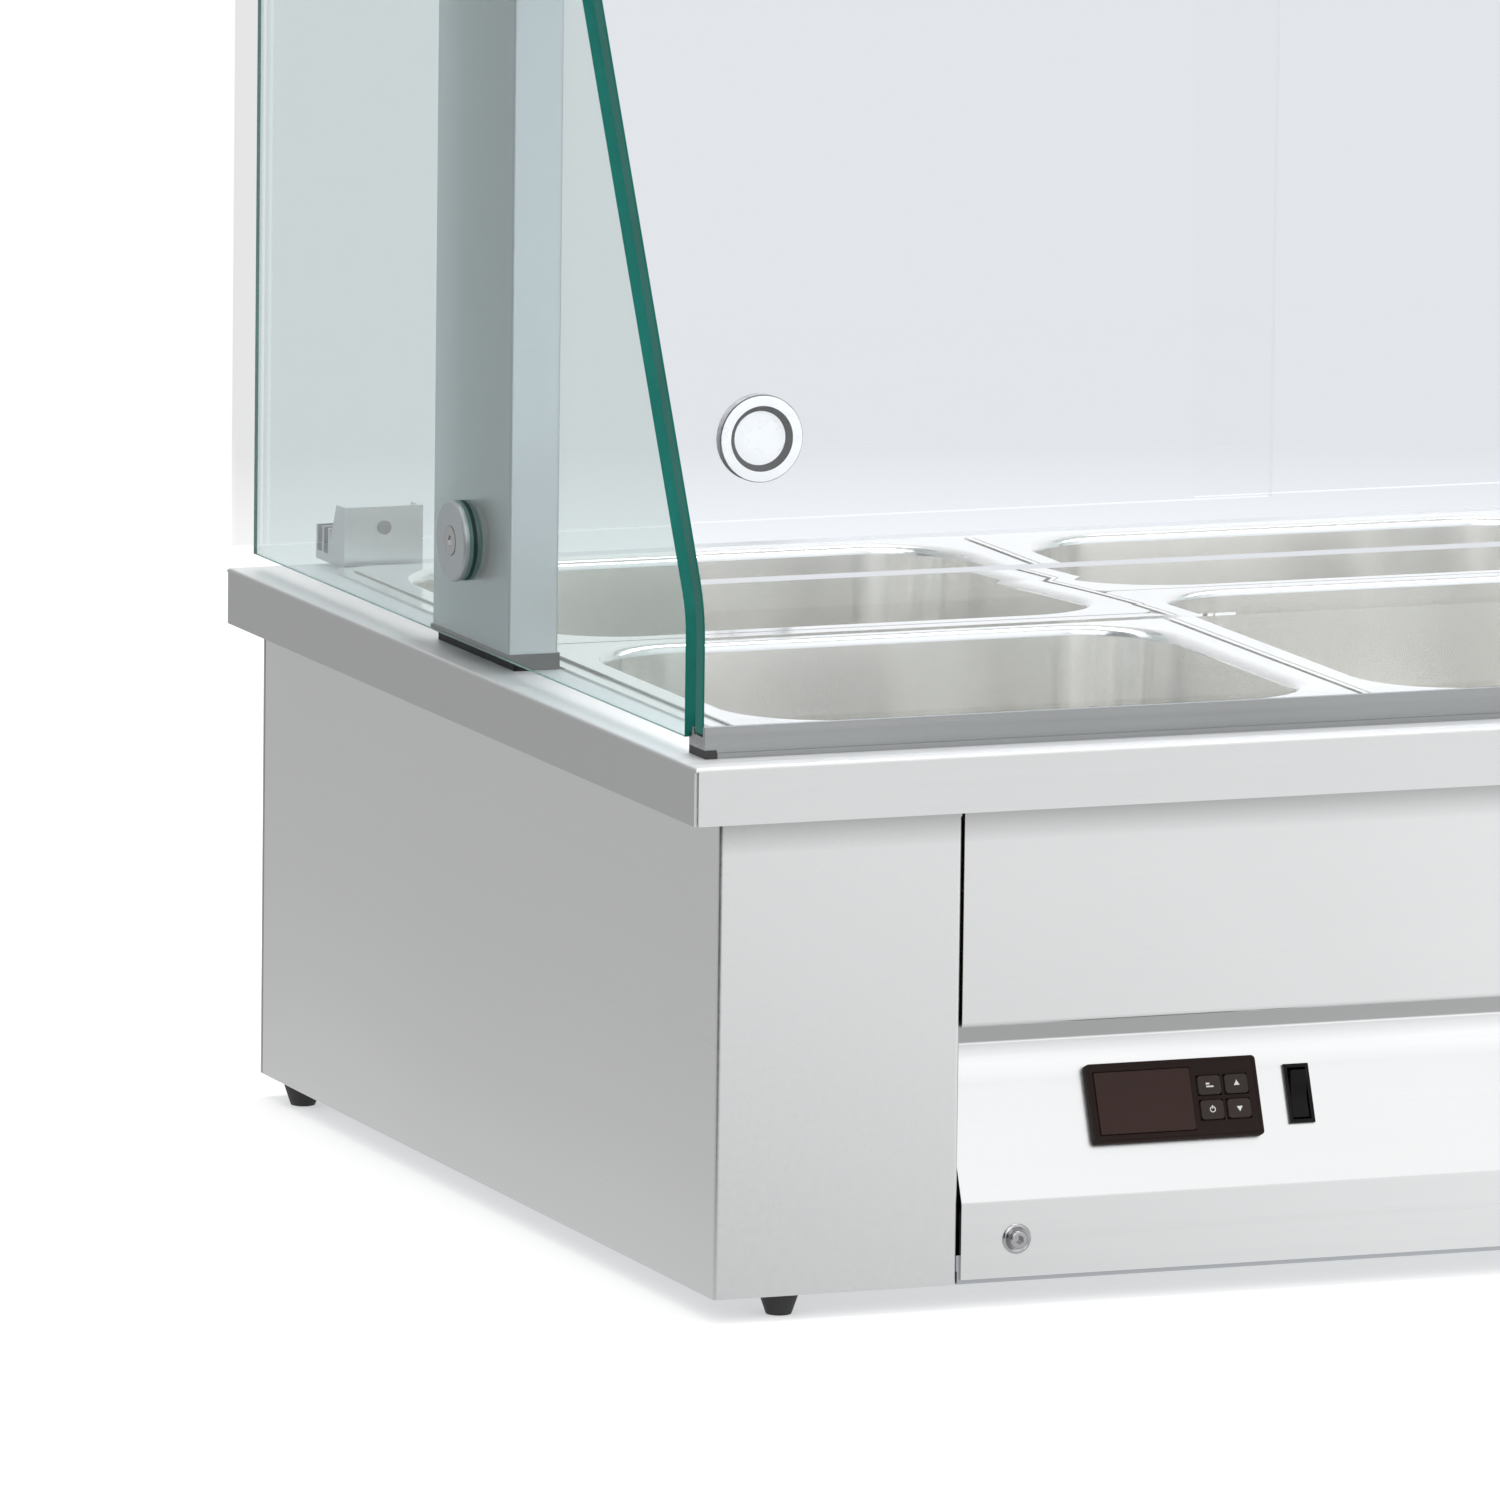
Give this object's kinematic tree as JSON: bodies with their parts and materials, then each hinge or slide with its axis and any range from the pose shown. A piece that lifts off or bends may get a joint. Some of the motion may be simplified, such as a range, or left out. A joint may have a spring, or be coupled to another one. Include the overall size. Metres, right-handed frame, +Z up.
{
  "type": "heated display bain-marie",
  "caption": "Countertop heated display bain-marie: gastronorm pans over a water tank behind bent front glass, with glass sides, sliding rear doors, a lamp roof and a sloping control panel.",
  "frame": {"origin": "the floor under the middle of the whole body, tap included", "axes": "+X to the right seen from the front, +Y to the rear doors, +Z up; the front faces -Y"},
  "size_m": [1.1, 0.696, 0.6954],
  "materials": {
    "brushed_stainless": "brushed",
    "satin_stainless": "satin",
    "drawn_stainless": "satin",
    "polished_steel": "polished",
    "galvanised_steel": "satin",
    "anodised_aluminium": "satin",
    "toughened_glass": "polished",
    "clear_acrylic": "polished",
    "quartz_glass": "polished",
    "chromed_zinc": "polished",
    "stainless_fasteners": "satin",
    "black_rubber": "matte",
    "clear_gasket": "matte",
    "black_plastic": "matte",
    "black_gloss_plastic": "gloss",
    "brown_plastic": "matte",
    "smoked_window": "gloss",
    "key_plastic": "matte",
    "grey_plastic": "matte",
    "white_nylon": "matte",
    "white_ceramic": "gloss",
    "mineral_wool": "matte",
    "element_sheath": "satin",
    "nickelled_brass": "satin",
    "red_enamel": "gloss"
  },
  "bodies": {
    "cabinet": {"worktop": "brushed_stainless", "end_panels": "brushed_stainless", "upper_front_panel": "brushed_stainless", "control_panel": "brushed_stainless", "back_panel": "brushed_stainless", "roof_panel": "brushed_stainless", "base_plate": "galvanised_steel", "water_tank": "satin_stainless", "divider_bars": "satin_stainless", "door_guides": "satin_stainless", "lamp_hood": "satin_stainless", "lamp_reflector": "polished_steel", "posts": "anodised_aluminium", "front_glass_rail": "anodised_aluminium", "front_glass_channel": "anodised_aluminium", "door_track": "anodised_aluminium", "front_glass": "toughened_glass", "side_glasses": "toughened_glass", "lamp_cover_glass": "toughened_glass", "clamp_caps": "chromed_zinc", "clamp_screws": "stainless_fasteners", "panel_screws": "stainless_fasteners", "pan_head_screws": "stainless_fasteners", "post_screws": "stainless_fasteners", "element_straps": "galvanised_steel", "feet": "black_rubber", "rail_end_pads": "black_rubber", "post_feet": "black_plastic", "clamp_discs": "clear_gasket", "controller_case": "brown_plastic", "controller_window": "smoked_window", "switch_frame": "black_plastic", "tank_insulation": "mineral_wool", "heating_elements": "element_sheath", "drain_pipe": "satin_stainless", "drain_tap": "nickelled_brass", "power_relay": "black_plastic", "terminal_block": "grey_plastic", "limit_thermostat": "grey_plastic", "tank_probe": "stainless_fasteners", "cable_gland": "grey_plastic", "heat_lamps": "quartz_glass", "lamp_holders": "white_ceramic"},
    "front_half_pan_body": {"front_half_pan": "drawn_stainless"},
    "rear_half_pan_body": {"rear_half_pan": "drawn_stainless"},
    "two_thirds_pan_body": {"two_thirds_pan": "drawn_stainless"},
    "one_third_pan_body": {"one_third_pan": "drawn_stainless"},
    "full_pan_body": {"full_pan": "drawn_stainless"},
    "left_door_body": {"left_door": "clear_acrylic", "left_door_pull": "chromed_zinc", "left_door_hangers": "white_nylon"},
    "right_door_body": {"right_door": "clear_acrylic", "right_door_pull": "chromed_zinc", "right_door_hangers": "white_nylon"},
    "key_set_body": {"key_set": "key_plastic"},
    "key_up_body": {"key_up": "key_plastic"},
    "key_standby_body": {"key_standby": "key_plastic"},
    "key_down_body": {"key_down": "key_plastic"},
    "rocker_body": {"switch_rocker": "black_gloss_plastic"},
    "tap_lever_body": {"tap_lever": "red_enamel"}
  },
  "joints": [
    {"name": "front_half_pan_lift", "type": "slide", "parent": "cabinet", "child": "front_half_pan_body", "axis": [0, 0, 1], "range_m": [0, 0.13]},
    {"name": "rear_half_pan_lift", "type": "slide", "parent": "cabinet", "child": "rear_half_pan_body", "axis": [0, 0, 1], "range_m": [0, 0.13]},
    {"name": "two_thirds_pan_lift", "type": "slide", "parent": "cabinet", "child": "two_thirds_pan_body", "axis": [0, 0, 1], "range_m": [0, 0.13]},
    {"name": "one_third_pan_lift", "type": "slide", "parent": "cabinet", "child": "one_third_pan_body", "axis": [0, 0, 1], "range_m": [0, 0.13]},
    {"name": "full_pan_lift", "type": "slide", "parent": "cabinet", "child": "full_pan_body", "axis": [0, 0, 1], "range_m": [0, 0.13]},
    {"name": "left_door_slide", "type": "slide", "parent": "cabinet", "child": "left_door_body", "axis": [1, 0, 0], "range_m": [0, 0.52]},
    {"name": "right_door_slide", "type": "slide", "parent": "cabinet", "child": "right_door_body", "axis": [-1, 0, 0], "range_m": [0, 0.52]},
    {"name": "key_set_press", "type": "slide", "parent": "cabinet", "child": "key_set_body", "axis": [0, 0.9272, -0.3746], "range_m": [0, 0.0006], "stiffness_N_per_m": 800, "springref_m": -0.001},
    {"name": "key_up_press", "type": "slide", "parent": "cabinet", "child": "key_up_body", "axis": [0, 0.9272, -0.3746], "range_m": [0, 0.0006], "stiffness_N_per_m": 800, "springref_m": -0.001},
    {"name": "key_standby_press", "type": "slide", "parent": "cabinet", "child": "key_standby_body", "axis": [0, 0.9272, -0.3746], "range_m": [0, 0.0006], "stiffness_N_per_m": 800, "springref_m": -0.001},
    {"name": "key_down_press", "type": "slide", "parent": "cabinet", "child": "key_down_body", "axis": [0, 0.9272, -0.3746], "range_m": [0, 0.0006], "stiffness_N_per_m": 800, "springref_m": -0.001},
    {"name": "rocker_tilt", "type": "hinge", "parent": "cabinet", "child": "rocker_body", "pos_m": [-0.224, -0.31171, 0.09153], "axis": [1, 0, 0], "range_deg": [-18, 0]},
    {"name": "tap_lever_turn", "type": "hinge", "parent": "cabinet", "child": "tap_lever_body", "pos_m": [0.165, 0.3223, 0.1053], "axis": [0, 0, 1], "range_deg": [-90, 0]}
  ]
}
